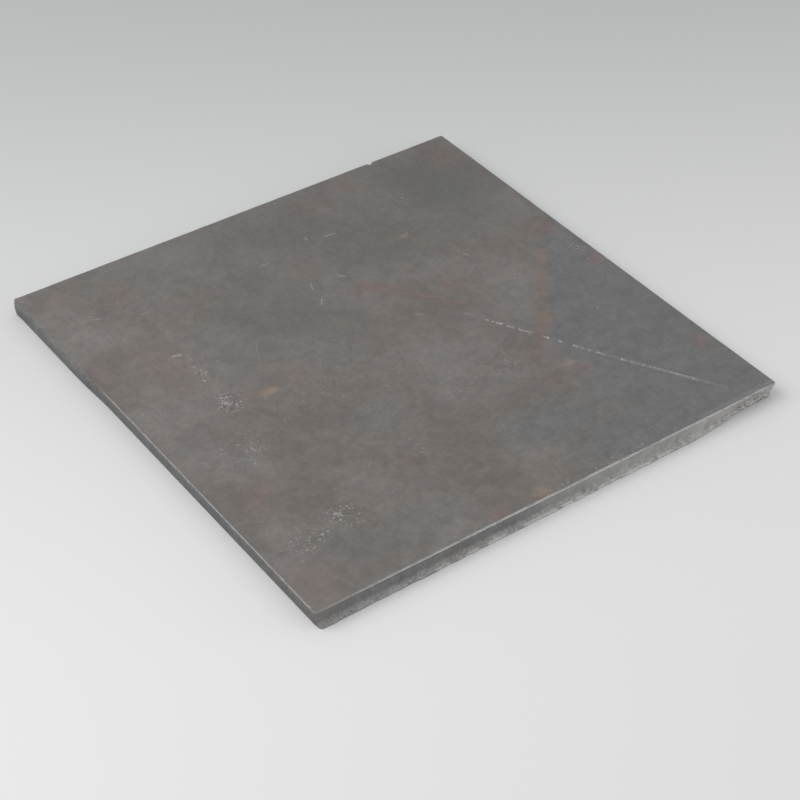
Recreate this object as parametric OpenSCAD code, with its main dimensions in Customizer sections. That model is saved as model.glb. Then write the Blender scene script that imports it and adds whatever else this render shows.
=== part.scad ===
// Square blank of hot-rolled steel plate, cut to size on a guillotine shear.
// Lengths in millimetres. The plate lies flat with its lower face on z = 0, centred on the origin.

/* [Plate] */
// Side along X, over the widest part of its two cut edges
plate_x = 300; // [100:1:1000]
// Side along Y, over the widest part of its two cut edges
plate_y = 300; // [100:1:1000]
// Rolled thickness
thickness = 10; // [8:0.5:25]

/* [Sheared edges] */
// Radius of the rollover, where the blade pulls the skin down as it enters
rollover_r = 0.8; // [0.3:0.1:2]
// Height of the slope torn between the burnished land and the burr lip
fracture_h = 2.6; // [1:0.1:3.5]
// How far the torn slope carries the burr lip out past the burnished land
fracture_lean = 1.2; // [0.3:0.1:2]
// Height of the upright burr lip where the blade leaves
lip_h = 0.7; // [0.3:0.1:1.5]

/* [Corners] */
// Radius knocked off each upright corner by handling
corner_r = 1.5; // [0.5:0.1:4]

/* [Hidden] */
scale_brown = [0.44, 0.42, 0.41];
cut_clear = 1;
$fn = 64;

// Square block that leaves a quarter-round convex corner at the origin, seen from inside the plate.
module quarter_waste(r) {
    difference() {
        translate([-cut_clear, -cut_clear]) square(r + cut_clear);
        translate([r, r]) circle(r);
    }
}

// Half a section: one cut edge, lying on the right, with its rollover on top and its lip below.
module cut_edge(half) {
    land = half - fracture_lean;
    difference() {
        polygon([
            [0, 0],
            [half, 0],
            [half, lip_h],
            [land, lip_h + fracture_h],
            [land, thickness],
            [0, thickness],
        ]);
        translate([land, thickness]) rotate(180) quarter_waste(rollover_r);
    }
}

// Section across two opposite cuts. The blade enters from above on the right and from below
// on the left, so each edge is the other one turned half round.
module sheared_section(span) {
    cut_edge(span / 2);
    translate([0, thickness]) rotate(180) cut_edge(span / 2);
}

// Bar with the sheared section across X, running along Y.
module bar_along_y() {
    rotate([90, 0, 0])
        linear_extrude(plate_y + 2 * cut_clear, center = true) sheared_section(plate_x);
}

// Bar with the sheared section across -Y, running along X.
module bar_along_x() {
    rotate([90, 0, -90])
        linear_extrude(plate_x + 2 * cut_clear, center = true) sheared_section(plate_y);
}

// Waste outside the rounded upright corners, through the whole thickness.
module corner_waste() {
    for (flip_x = [0, 1], flip_y = [0, 1])
        mirror([flip_x, 0, 0]) mirror([0, flip_y, 0])
            translate([-plate_x / 2, -plate_y / 2, -cut_clear])
                linear_extrude(thickness + 2 * cut_clear) quarter_waste(corner_r);
}

module plate() {
    color(scale_brown)
        difference() {
            intersection() {
                bar_along_y();
                bar_along_x();
            }
            corner_waste();
        }
}

plate();
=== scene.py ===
"""Looks of the steel plate: a square of hot-rolled plate, sheared to size.

Sizes and places are in millimetres in the plate's own frame. Meshes are built in metres.
"""

import logging
import math
from collections.abc import Callable
from dataclasses import dataclass
from enum import Enum, auto
from functools import partial, reduce
from typing import ClassVar

import bmesh
import bpy
from mathutils import Matrix, Vector


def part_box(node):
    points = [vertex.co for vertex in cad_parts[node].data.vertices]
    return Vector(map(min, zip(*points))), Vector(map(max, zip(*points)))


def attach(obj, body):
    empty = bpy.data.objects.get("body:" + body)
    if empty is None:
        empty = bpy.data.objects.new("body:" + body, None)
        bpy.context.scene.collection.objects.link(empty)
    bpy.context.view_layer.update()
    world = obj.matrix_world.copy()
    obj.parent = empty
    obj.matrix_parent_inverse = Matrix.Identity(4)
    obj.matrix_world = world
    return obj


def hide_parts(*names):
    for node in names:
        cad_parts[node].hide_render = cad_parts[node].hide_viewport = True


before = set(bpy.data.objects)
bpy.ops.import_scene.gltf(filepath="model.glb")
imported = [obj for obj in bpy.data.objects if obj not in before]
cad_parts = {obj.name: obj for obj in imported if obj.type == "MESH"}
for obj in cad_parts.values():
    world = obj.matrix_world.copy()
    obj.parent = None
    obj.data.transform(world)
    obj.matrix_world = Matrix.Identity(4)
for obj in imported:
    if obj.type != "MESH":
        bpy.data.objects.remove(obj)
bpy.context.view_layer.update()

MM = 0.001  # a millimetre, in metres
NEAR = 0.02  # places that differ by less than this are the same, in millimetres
STEEP = 0.5  # a face belongs to a side if its normal points up or down by less than this
UPRIGHT = 0.9  # an edge is upright if its direction points up or down by more than this
ROUND = 0.5  # profile of a bevel that is part of a circle
QUAD = 4  # corners of a face that needs no dividing
ALIGNED = 0.99  # an edge runs along a side if this share of its length does
UP = Vector((0, 0, 1))
LEVEL = (1.0, 1.0, 0.0)  # keeps the part of a vector that lies along the broad faces
MIDDLE = (0.5, 0.5, 0.5)  # middle of the range of a noise's colour
MIX_INPUTS = (0, 6, 7)  # sockets of a colour mix for its share and its two colours
MIX_RESULT = 2  # socket of a colour mix for its result
LOG = logging.getLogger("steel_plate")

Colour = tuple[float, float, float]
Place = tuple[float, float]
Triple = tuple[float, float, float]
Names = tuple[str, ...]
Socket = bpy.types.NodeSocket
Feed = Socket | float | tuple[float, ...]


def smooth_step(low: float, high: float, value: float) -> float:
    """Eased share of the way from low to high.

    Args:
        low: Value at which the share is 0.
        high: Value at which the share is 1. It may be under low.
        value: Value to place between them.

    Returns:
        The share, from 0 to 1.
    """
    share = min(max((value - low) / (high - low), 0.0), 1.0)
    return share * share * (3.0 - 2.0 * share)


class Side(Enum):
    """A cut side of the plate: its outward direction, and whether the blade came from above."""

    EAST = (1, 0, True)
    WEST = (-1, 0, False)
    NORTH = (0, 1, False)
    SOUTH = (0, -1, True)

    def __init__(self, x: int, y: int, from_above: bool) -> None:
        """Names the parts of the value."""
        self.outward = Vector((x, y, 0))
        self.from_above = from_above

    def along(self, place: Vector) -> float:
        """Distance of a place along this side, from the side's middle."""
        return place.y if self.outward.x else place.x


class Zone(Enum):
    """Zone of the cut sides that a tear or a finish works on."""

    TORN = auto()
    SHATTERED = auto()
    ARRIS = auto()
    RIDGE = auto()
    # paleness of the cut sides, painted light included
    PALE = auto()
    LAND_LINE = auto()
    LIP_EAST_WEST = auto()
    LIP_NORTH_SOUTH = auto()
    FLUSH_WEST = auto()
    FLUSH_NORTH = auto()
    FLARED_SOUTH = auto()
    BROKEN_SOUTH = auto()
    BROKEN_EAST = auto()

    @property
    def group(self) -> str:
        """Name of the vertex group that holds each point's share in the zone."""
        return self.name.lower()

    @property
    def attribute(self) -> str:
        """Name of the mesh attribute that holds the same share for the finishes."""
        return self.group + "_share"


FLUSH_ZONES = {Side.WEST: Zone.FLUSH_WEST, Side.NORTH: Zone.FLUSH_NORTH}
FLARED_ZONES = {Side.SOUTH: Zone.FLARED_SOUTH}
BROKEN_ZONES = {Side.SOUTH: Zone.BROKEN_SOUTH, Side.EAST: Zone.BROKEN_EAST}
FACE_ZONES = (Zone.ARRIS, Zone.LIP_EAST_WEST, Zone.LIP_NORTH_SOUTH, Zone.FLARED_SOUTH)
FINISH_ZONES = (Zone.TORN, Zone.SHATTERED, Zone.ARRIS, Zone.RIDGE, Zone.PALE)


class Way(Enum):
    """Direction that a tear moves the skin in."""

    X = auto()
    Y = auto()
    Z = auto()
    NORMAL = auto()


class Pick(Enum):
    """Kind of mesh element that a selection is made of."""

    VERT = "verts"
    EDGE = "edges"
    FACE = "faces"


class Slot(Enum):
    """Material slot of each part of the plate's skin."""

    CUT = 0
    TOP = 1
    UNDER = 2


class Editing:
    """A mesh object in edit mode, with selections made by a test on each element."""

    def __init__(self, piece: bpy.types.Object) -> None:
        """Keeps the object to edit."""
        self.piece = piece

    def __enter__(self) -> "Editing":
        """Makes the object the only selected one and opens it for editing.

        Returns:
            This object, which makes the selections.
        """
        make_active(self.piece)
        bpy.ops.object.mode_set(mode="EDIT")
        return self

    def __exit__(self, *error: object) -> None:
        """Goes back to object mode."""
        bpy.ops.object.mode_set(mode="OBJECT")

    def pick(self, kind: Pick, test: Callable[[object], bool]) -> None:
        """Selects the elements that pass a test, and no others.

        Args:
            kind: Kind of element to select.
            test: Says whether an element is selected.
        """
        bpy.ops.mesh.select_mode(type=kind.name)
        bpy.ops.mesh.select_all(action="DESELECT")
        mesh = bmesh.from_edit_mesh(self.piece.data)
        for element in getattr(mesh, kind.value):
            if test(element):
                element.select_set(True)
        mesh.select_flush_mode()
        bmesh.update_edit_mesh(self.piece.data)

    def cut(self, place: Vector, normal: Vector) -> None:
        """Cuts the whole mesh with a plane.

        Args:
            place: A point of the plane, in millimetres.
            normal: Direction across the plane.
        """
        bpy.ops.mesh.select_all(action="SELECT")
        bpy.ops.mesh.bisect(plane_co=place * MM, plane_no=normal)

    def lengths(self, test: Callable[[bmesh.types.BMEdge], bool]) -> list[float]:
        """The different lengths, in millimetres, of the edges that pass a test."""
        mesh = bmesh.from_edit_mesh(self.piece.data)
        return sorted({round(edge.calc_length() / MM, 1) for edge in mesh.edges if test(edge)})


def make_active(piece: bpy.types.Object) -> None:
    """Leaves one object selected and active.

    Args:
        piece: The object.
    """
    bpy.ops.object.select_all(action="DESELECT")
    piece.select_set(True)
    bpy.context.view_layer.objects.active = piece


def millimetres(place: Vector) -> Vector:
    """A place given in metres, in millimetres."""
    return place / MM


@dataclass(frozen=True)
class ShearSection:
    """Section that the shear leaves on a cut side, measured from the face that the blade left by."""

    lip_h: float = 0.7
    fracture_h: float = 2.6
    lean: float = 1.2
    rollover_r: float = 0.65
    burr_break: float = 0.25
    corner_r: float = 1.5

    @property
    def land_from(self) -> float:
        """Height at which the torn slope ends and the burnished land starts."""
        return self.lip_h + self.fracture_h

    @property
    def face_from(self) -> float:
        """How far inside the side's widest line the flat of the rolled-over face starts."""
        return self.lean + self.rollover_r


@dataclass(frozen=True)
class Fade:
    """Fade up a side: the heights above the lip's face at which something is gone and full."""

    gone: float
    full: float

    def at(self, rise: float) -> float:
        """Share that is there at a height."""
        return smooth_step(self.gone, self.full, rise)


@dataclass(frozen=True)
class ArrisWear:
    """Wear of an arris: the depth at which it is full, and its share and reach on the broad face."""

    full: float
    face_share: float
    face_reach: float


@dataclass(frozen=True)
class Stretch:
    """Stretch of a side that has something the rest of the side lacks, easing in and out at its ends."""

    side: Side
    start: float
    end: float
    strength: float = 1.0
    ease: float = 9.0

    def share(self, side: Side, place: Vector) -> float:
        """How far a place on a side lies in the stretch, times its strength.

        Args:
            side: The side.
            place: The place, in millimetres.

        Returns:
            The share, which is 0 on any other side.
        """
        if side is not self.side:
            return 0.0
        run = side.along(place)
        inside = smooth_step(self.start, self.start + self.ease, run)
        return self.strength * inside * smooth_step(self.end, self.end - self.ease, run)


@dataclass(frozen=True)
class BrokenLip(Stretch):
    """Stretch of a side whose burr lip broke away, most at the lip and not at all at the height given."""

    height: float = 10.0

    def share_at(self, side: Side, place: Vector, rise: float) -> float:
        """How far a place on a side, at a height above its lip, lies in the break."""
        return self.share(side, place) * max(0.0, 1.0 - rise / self.height)


@dataclass(frozen=True)
class Knock:
    """A corner or arris that was knocked in: where, how far it moved, and the size of the dent."""

    place: Triple
    push: Triple
    reach: float


@dataclass(frozen=True)
class Tear:
    """One layer of shape on the cut sides: a noise, or with no grain an even shift, of a zone."""

    zone: Zone
    way: Way
    depth: float
    grain: float = 0.0
    stretch: Triple = (1.0, 1.0, 1.0)
    hard: bool = False
    octaves: int = 2


@dataclass(frozen=True)
class Noise:
    """Cloudy noise: the size of its largest blotches, its finer layers, and how far it warps itself."""

    size: float
    octaves: float = 4.0
    rough: float = 0.55
    warp: float = 0.0


@dataclass(frozen=True)
class Band:
    """Eased step: values from low to high give results from to_low to to_high, held beyond them."""

    low: Feed
    high: Feed
    to_low: float = 0.0
    to_high: float = 1.0


@dataclass(frozen=True)
class Line:
    """Straight response: a value times the slope, plus the base."""

    slope: float
    base: Feed


class Graph:
    """Short calls for wiring one shader node tree."""

    def __init__(self, tree: bpy.types.NodeTree) -> None:
        """Keeps the tree to wire."""
        self.tree = tree

    def add(self, kind: str, **settings: object) -> bpy.types.Node:
        """Adds a node.

        Args:
            kind: Blender's name of the node, without ShaderNode.
            settings: Values for the node's own properties.

        Returns:
            The new node.
        """
        node = self.tree.nodes.new("ShaderNode" + kind)
        for name, value in settings.items():
            setattr(node, name, value)
        return node

    def feed(self, socket: Socket, value: Feed) -> None:
        """Links an input to a socket, or sets it to a plain value.

        Args:
            socket: The input.
            value: The socket to link it to, or the plain value.
        """
        if isinstance(value, Socket):
            self.tree.links.new(value, socket)
        else:
            socket.default_value = value

    def math(self, operation: str, *values: Feed, clamp: bool = False) -> Socket:
        """Adds a Math node.

        Args:
            operation: Blender's name of the operation.
            values: One value for each input, in order.
            clamp: Whether the result is kept from 0 to 1.

        Returns:
            The node's result.
        """
        node = self.add("Math", operation=operation, use_clamp=clamp)
        for socket, value in zip(node.inputs, values):
            self.feed(socket, value)
        return node.outputs[0]

    def vector(self, operation: str, *values: Feed) -> Socket:
        """Adds a Vector Math node.

        Args:
            operation: Blender's name of the operation. SCALE takes its factor second.
            values: One value for each input, in order.

        Returns:
            The node's vector, or its number for DOT_PRODUCT and LENGTH.
        """
        node = self.add("VectorMath", operation=operation)
        self.feed(node.inputs[0], values[0])
        if len(values) > 1:
            second = node.inputs["Scale"] if operation == "SCALE" else node.inputs[1]
            self.feed(second, values[1])
        return node.outputs["Value" if operation in ("DOT_PRODUCT", "LENGTH") else "Vector"]

    def product(self, *values: Feed) -> Socket:
        """Adds Math nodes that multiply some values together."""
        return reduce(partial(self.math, "MULTIPLY"), values)

    def most(self, *values: Feed) -> Socket:
        """Adds Math nodes that find the greatest of some values."""
        return reduce(partial(self.math, "MAXIMUM"), values)

    def line(self, value: Feed, line: Line) -> Socket:
        """Adds a straight response to a value."""
        return self.math("MULTIPLY_ADD", value, line.slope, line.base)

    def place(self) -> Socket:
        """Adds the coordinates of each point of the object, in millimetres."""
        return self.vector("SCALE", self.add("TexCoord").outputs["Object"], 1.0 / MM)

    def share(self, zone: Zone) -> Socket:
        """Adds each point's share in a zone of the cut sides, which the mesh keeps."""
        return self.add("Attribute", attribute_name=zone.attribute).outputs["Fac"]

    def noise(self, place: Feed, noise: Noise) -> Socket:
        """Adds a noise, from 0 to 1, over coordinates in millimetres."""
        return self._texture(place, noise).outputs[0]

    def drift(self, place: Feed, noise: Noise) -> Socket:
        """Adds a noise of directions, whose parts go from -0.5 to 0.5, over coordinates in millimetres."""
        return self.vector("SUBTRACT", self._texture(place, noise).outputs["Color"], MIDDLE)

    def _texture(self, place: Feed, noise: Noise) -> bpy.types.Node:
        """Adds a Noise Texture node.

        Args:
            place: Coordinates, in millimetres.
            noise: The kind of noise.

        Returns:
            The node.
        """
        node = self.add("TexNoise")
        self.feed(node.inputs["Vector"], place)
        node.inputs["Scale"].default_value = 1.0 / noise.size
        node.inputs["Detail"].default_value = noise.octaves
        node.inputs["Roughness"].default_value = noise.rough
        node.inputs["Distortion"].default_value = noise.warp
        return node

    def fit(self, value: Feed, band: Band) -> Socket:
        """Adds an eased Map Range.

        Args:
            value: Value to map.
            band: The values to map from and to.

        Returns:
            The mapped value.
        """
        node = self.add("MapRange", interpolation_type="SMOOTHSTEP")
        names = ("Value", "From Min", "From Max", "To Min", "To Max")
        for name, feed in zip(names, (value, band.low, band.high, band.to_low, band.to_high)):
            self.feed(node.inputs[name], feed)
        return node.outputs[0]

    def blend(self, share: Feed, first: Feed, second: Feed, mode: str = "MIX") -> Socket:
        """Adds a colour Mix node.

        Args:
            share: Share of the second colour.
            first: Colour at share 0.
            second: Colour at share 1.
            mode: Blender's name of the blend mode.

        Returns:
            The mixed colour.
        """
        node = self.add("Mix", data_type="RGBA", blend_type=mode)
        for index, value in zip(MIX_INPUTS, (share, first, second)):
            if isinstance(value, tuple):
                value = (*value, 1.0)
            self.feed(node.inputs[index], value)
        return node.outputs[MIX_RESULT]

    def use(self, group: bpy.types.NodeTree, **values: Feed) -> bpy.types.Node:
        """Places a node group.

        Args:
            group: The group to place.
            values: Values for its inputs, by name, with _ for a space.

        Returns:
            The group's node.
        """
        node = self.add("Group", node_tree=group)
        for name, value in values.items():
            self.feed(node.inputs[name.replace("_", " ")], value)
        return node


class GroupGraph(Graph):
    """A new shader node group with named inputs and outputs."""

    def __init__(self, name: str, vectors: Names, floats: Names, results: Names) -> None:
        """Makes the group.

        Args:
            name: The group's name.
            vectors: Names of the inputs that are vectors.
            floats: Names of the inputs that are numbers.
            results: Names of the outputs, which are numbers.
        """
        super().__init__(bpy.data.node_groups.new(name, "ShaderNodeTree"))
        kinds = ((vectors, "INPUT", "Vector"), (floats, "INPUT", "Float"), (results, "OUTPUT", "Float"))
        for sockets, way, kind in kinds:
            for socket in sockets:
                self.tree.interface.new_socket(socket, in_out=way, socket_type="NodeSocket" + kind)
        self.given = self.tree.nodes.new("NodeGroupInput").outputs
        self.result = self.tree.nodes.new("NodeGroupOutput").inputs


@dataclass(frozen=True)
class Effects:
    """The surface effects that the plate's finishes share, each a node group."""

    skin: bpy.types.NodeTree
    patch: bpy.types.NodeTree
    score: bpy.types.NodeTree
    flecks: bpy.types.NodeTree
    hairlines: bpy.types.NodeTree
    wear: bpy.types.NodeTree

    CLOUD: ClassVar[Noise] = Noise(55.0, 3.0, 0.5, 0.4)
    MOTTLE: ClassVar[Noise] = Noise(8.0, 3.0, 0.55, 0.8)
    GRAIN: ClassVar[Noise] = Noise(1.8, 4.0, 0.65)
    PATCH_EDGE: ClassVar[Band] = Band(1.0, 0.1)
    SCORE_CORE: ClassVar[float] = 0.3
    FLAKE: ClassVar[Noise] = Noise(1.0, 3.0, 0.6, 0.3)
    FLAKE_LEVEL: ClassVar[Line] = Line(-0.2, 0.66)
    FLAKE_EDGE: ClassVar[float] = 0.2
    HAIR: ClassVar[Noise] = Noise(0.55, 1.0)
    HAIR_STRETCH: ClassVar[Triple] = (0.045, 1.0, 0.0)
    HAIR_BAND: ClassVar[Band] = Band(0.70, 0.78)
    HAIR_SPREAD: ClassVar[Noise] = Noise(14.0, 2.0)
    HAIR_FULL: ClassVar[float] = 0.72
    RUB: ClassVar[Noise] = Noise(5.0, 4.0, 0.65)
    RUB_BAND: ClassVar[Band] = Band(0.36, 0.54, 0.45, 1.0)
    ARRIS_BAND: ClassVar[Band] = Band(0.1, 0.8)

    @classmethod
    def build(cls) -> "Effects":
        """Builds every group once."""
        return cls(cls._skin(), cls._patch(), cls._score(), cls._flecks(), cls._hairlines(), cls._wear())

    @classmethod
    def _skin(cls) -> bpy.types.NodeTree:
        """Uneven tone of rolled steel: cloudy blotches, a mid mottle, and a fine grain.

        Returns:
            The group.
        """
        layers = {"Cloud": cls.CLOUD, "Mottle": cls.MOTTLE, "Grain": cls.GRAIN}
        graph = GroupGraph("Rolled Skin", ("Place",), (), tuple(layers))
        for name, noise in layers.items():
            graph.feed(graph.result[name], graph.noise(graph.given["Place"], noise))
        return graph.tree

    @classmethod
    def _patch(cls) -> bpy.types.NodeTree:
        """Soft oval patch, full in its middle and gone at its radius, over the mask of those before it.

        Returns:
            The group.
        """
        graph = GroupGraph("Soft Patch", ("Place", "Centre", "Radius"), ("Strength", "Before"), ("Mask",))
        given = graph.given
        offset = graph.vector("SUBTRACT", given["Place"], given["Centre"])
        share = graph.vector("LENGTH", graph.vector("DIVIDE", offset, given["Radius"]))
        mask = graph.product(graph.fit(share, cls.PATCH_EDGE), given["Strength"])
        graph.feed(graph.result["Mask"], graph.most(given["Before"], mask))
        return graph.tree

    @classmethod
    def _score(cls) -> bpy.types.NodeTree:
        """Straight score over the mask of those before it, and the share of the way along it.

        Returns:
            The group.
        """
        floats = ("Half Width", "Strength", "Before")
        graph = GroupGraph("Score", ("Place", "Start", "End"), floats, ("Mask", "Along"))
        given = graph.given
        run = graph.vector("SUBTRACT", given["End"], given["Start"])
        offset = graph.vector("SUBTRACT", given["Place"], given["Start"])
        reach = graph.vector("DOT_PRODUCT", offset, run)
        along = graph.math("DIVIDE", reach, graph.vector("DOT_PRODUCT", run, run), clamp=True)
        away = graph.vector("LENGTH", graph.vector("SUBTRACT", offset, graph.vector("SCALE", run, along)))
        edge = Band(given["Half Width"], graph.product(given["Half Width"], cls.SCORE_CORE))
        mask = graph.product(graph.fit(away, edge), given["Strength"])
        graph.feed(graph.result["Along"], along)
        graph.feed(graph.result["Mask"], graph.most(given["Before"], mask))
        return graph.tree

    @classmethod
    def _flecks(cls) -> bpy.types.NodeTree:
        """Ragged flecks where the scale has flaked, as dense as the given density from 0 to 1.

        Returns:
            The group.
        """
        graph = GroupGraph("Flecks", ("Place",), ("Density", "Size"), ("Mask",))
        given = graph.given
        spread = graph.vector("SCALE", given["Place"], graph.math("DIVIDE", 1.0, given["Size"]))
        level = graph.line(given["Density"], cls.FLAKE_LEVEL)
        edge = Band(level, graph.math("ADD", level, cls.FLAKE_EDGE))
        graph.feed(graph.result["Mask"], graph.fit(graph.noise(spread, cls.FLAKE), edge))
        return graph.tree

    @classmethod
    def _hairlines(cls) -> bpy.types.NodeTree:
        """Short fine scratches that all run one way.

        Returns:
            The group.
        """
        graph = GroupGraph("Hairlines", ("Place",), ("Turn", "Share"), ("Mask",))
        given = graph.given
        rotated = graph.add("VectorRotate", rotation_type="Z_AXIS")
        graph.feed(rotated.inputs["Vector"], given["Place"])
        graph.feed(rotated.inputs["Angle"], given["Turn"])
        turned = rotated.outputs[0]
        lines = graph.noise(graph.vector("MULTIPLY", turned, cls.HAIR_STRETCH), cls.HAIR)
        kept = graph.fit(graph.noise(turned, cls.HAIR_SPREAD), Band(given["Share"], cls.HAIR_FULL))
        graph.feed(graph.result["Mask"], graph.product(graph.fit(lines, cls.HAIR_BAND), kept))
        return graph.tree

    @classmethod
    def _wear(cls) -> bpy.types.NodeTree:
        """Bright rubbed line along the arrises, a little broken.

        Returns:
            The group.
        """
        graph = GroupGraph("Arris Wear", ("Place",), (), ("Mask",))
        kept = graph.fit(graph.noise(graph.given["Place"], cls.RUB), cls.RUB_BAND)
        worn = graph.fit(graph.share(Zone.ARRIS), cls.ARRIS_BAND)
        graph.feed(graph.result["Mask"], graph.product(worn, kept))
        return graph.tree


@dataclass(frozen=True)
class Patch:
    """A soft oval patch on a broad face."""

    centre: Place
    radius: Place
    strength: float = 1.0


@dataclass(frozen=True)
class Score:
    """A straight mark on a broad face."""

    start: Place
    end: Place
    width: float
    strength: float = 1.0


@dataclass(frozen=True)
class Scratch:
    """A long scratch that skips: each stop is a share of the way along, and the strength from there on."""

    start: Place
    end: Place
    width: float
    stops: tuple[tuple[float, float], ...]


@dataclass(frozen=True)
class FaceMarks:
    """The marks that one broad face has picked up, with broad patches of painted shade laid over them."""

    rust: tuple[Patch, ...]
    ochre: tuple[Patch, ...]
    grey: tuple[Patch, ...]
    grey_bands: tuple[Score, ...]
    dark: tuple[Patch, ...]
    painted_shade: tuple[Patch, ...]
    flaked: tuple[Patch, ...]
    rust_scores: tuple[Score, ...]
    tan_scores: tuple[Score, ...]
    scratches: tuple[Scratch, ...]
    fine_scores_and_glints: tuple[Score, ...]


TOP_MARKS = FaceMarks(
    rust=(
        Patch((-112, 55), (20, 55), 0.55),
        Patch((-127, -65), (18, 20), 0.75),
        Patch((-137, -132), (20, 26), 0.65),
        Patch((-130, 137), (14, 10), 0.5),
        Patch((-100, 120), (14, 16), 0.5),
        Patch((66, 136), (10, 9), 0.9),
        Patch((38, 133), (22, 16), 0.45),
        Patch((132, 130), (12, 20), 0.7),
        Patch((139, 34), (10, 13), 0.95),
        Patch((142, -5), (8, 12), 0.8),
        Patch((139, -100), (11, 18), 0.6),
        Patch((-35, -145), (14, 7), 0.8),
        Patch((-47, -85), (11, 9), 0.6),
        Patch((-32, -112), (12, 9), 0.45),
        Patch((60, 25), (9, 12), 0.65),
        Patch((-56, 2), (12, 11), 0.55),
        Patch((53, -76), (8, 6), 0.9),
        Patch((70, -79), (10, 6), 0.8),
        Patch((-98, 88), (14, 12), 0.4),
        Patch((0, 80), (16, 14), 0.4),
        Patch((-145, 60), (7, 40), 0.4),
    ),
    ochre=(
        Patch((-78, 0.5), (7, 6), 1.0),
        Patch((-64, 17), (5, 4), 0.7),
        Patch((-10, -143), (10, 7), 0.75),
        Patch((68, -72), (7, 4), 0.55),
        Patch((66, 74), (6, 3), 0.5),
    ),
    grey=(
        Patch((60, -135), (60, 32), 0.6),
        Patch((-75, -128), (55, 24), 0.35),
        Patch((30, -105), (50, 30), 0.5),
        Patch((74, -100), (34, 26), 0.5),
        Patch((-45, -50), (34, 26), 0.3),
    ),
    grey_bands=(
        Score((152, 0), (104, -70), 92.0, 1.0),
        Score((140, -75), (100, -150), 110.0, 0.9),
    ),
    dark=(
        Patch((112, 100), (52, 66), 1.0),
        Patch((95, 128), (34, 30), 0.8),
        # painted shade: the next two broad patches darken the far part of the face
        Patch((20, 135), (190, 70), 0.5),
        Patch((60, 100), (110, 70), 0.4),
        Patch((-40, 60), (60, 46), 0.5),
        Patch((-52, 58), (16, 28), 0.7),
        Patch((-30, 92), (22, 20), 0.6),
        Patch((-2, 32), (13, 24), 0.6),
        Patch((50, 75), (18, 30), 0.55),
        Patch((-25, 10), (26, 22), 0.35),
        Patch((-110, -118), (24, 20), 0.35),
        Patch((-80, 40), (14, 26), 0.35),
        Patch((135, -60), (22, 60), 0.3),
    ),
    # painted shade: broad soft patches that darken the face mostly towards its far side and right, as the
    # light falls off
    painted_shade=(
        Patch((120, 125), (75, 70), 0.6),
        Patch((20, 95), (100, 75), 0.4),
        Patch((-45, 35), (65, 55), 0.45),
        Patch((85, -22), (55, 42), 0.3),
    ),
    flaked=(
        Patch((-99, 5), (15, 17), 1.25),
        Patch((-98, 38), (15, 34), 0.7),
        Patch((-142, 18), (14, 22), 0.45),
        Patch((-100, -100), (16, 16), 1.1),
        Patch((-124, -106), (28, 22), 0.75),
        Patch((-116, -32), (30, 26), 0.7),
        Patch((8, -54), (26, 20), 0.55),
        Patch((38, -58), (20, 22), 0.55),
        Patch((-40, -78), (18, 16), 0.5),
        Patch((-122, 116), (28, 24), 0.3),
        Patch((-16, 100), (24, 14), 0.55),
        Patch((85, 108), (16, 26), 0.5),
        Patch((142, 10), (12, 34), 0.6),
        Patch((-60, -20), (60, 80), 0.35),
        Patch((40, -142), (100, 10), 0.35),
        Patch((10, -146), (160, 5), 0.6),
    ),
    rust_scores=(
        Score((17, 50), (35, 27), 13.0, 0.7),
        Score((35, 27), (52, 0), 10.0, 0.85),
        Score((77, -37), (54, -60), 9.0, 0.7),
    ),
    tan_scores=(
        Score((122, 17), (79, -37), 11.0, 1.0),
        Score((79, -37), (66, -50), 9.0, 0.7),
        Score((-80, -42), (-48, -72), 8.0, 0.35),
    ),
    scratches=(
        Scratch(
            (49, -4.5), (88.2, -76), 2.3,
            (
                (0.0, 0.3), (0.06, 0.0), (0.145, 0.65), (0.172, 0.0), (0.198, 0.85), (0.212, 0.1),
                (0.229, 1.0), (0.277, 0.0), (0.305, 1.0), (0.36, 0.0), (0.392, 0.8), (0.44, 0.5),
                (0.489, 0.0), (0.562, 0.9), (0.62, 0.0), (0.683, 0.75), (0.71, 0.0), (0.789, 0.8),
                (0.821, 0.35), (0.883, 0.1), (0.903, 0.55), (0.921, 0.1), (0.951, 0.8),
            ),
        ),
        Scratch(
            (88.2, -76), (124, -136), 2.7,
            (
                (0.0, 0.22), (0.149, 0.9), (0.198, 0.17), (0.229, 1.0), (0.248, 0.2), (0.326, 0.9),
                (0.343, 0.25), (0.375, 0.48), (0.54, 0.7), (0.749, 0.33), (0.86, 0.18),
            ),
        ),
    ),
    fine_scores_and_glints=(
        Score((91, 148.6), (94, 148.2), 1.6, 1.0),
        Score((16, 106), (17, 104), 1.2, 1.0),
        Score((27, 101), (33, 100.5), 1.3, 0.8),
        Score((-12, 48), (-9, 52), 1.2, 0.8),
        Score((-8, 62), (-6, 68), 1.0, 0.7),
        Score((11, 66), (14, 62), 1.1, 0.7),
        Score((26, 10), (29, 8), 1.1, 0.7),
        Score((82, 46), (84, 38), 1.0, 0.6),
        Score((64, 74), (69, 77), 1.0, 0.5),
        Score((90, 2), (97, 12), 0.7, 0.35),
        Score((44.2, -45.5), (44.8, -44.8), 1.6, 0.4),
        Score((112.8, -43.2), (113.4, -42.4), 1.6, 0.45),
        Score((-70, 20), (-62, 38), 0.7, 0.35),
        Score((98, -147.2), (147, -147.2), 7.0, 0.25),
        # painted glints: two bright bare-steel dots where the west arris is nicked, standing in for their
        # highlights
        Score((-149.6, -121.0), (-149.6, -120.0), 1.5, 1.6),
        Score((-149.6, -142.7), (-149.6, -141.7), 1.3, 1.4),
        Score((-103.8, 55.2), (-100.4, 54.2), 3.0, 0.75),
        Score((-124.4, 108.8), (-119.8, 106.8), 1.6, 0.45),
        Score((-98.6, 96.7), (-95.4, 96.6), 1.6, 0.5),
    ),
)

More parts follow.
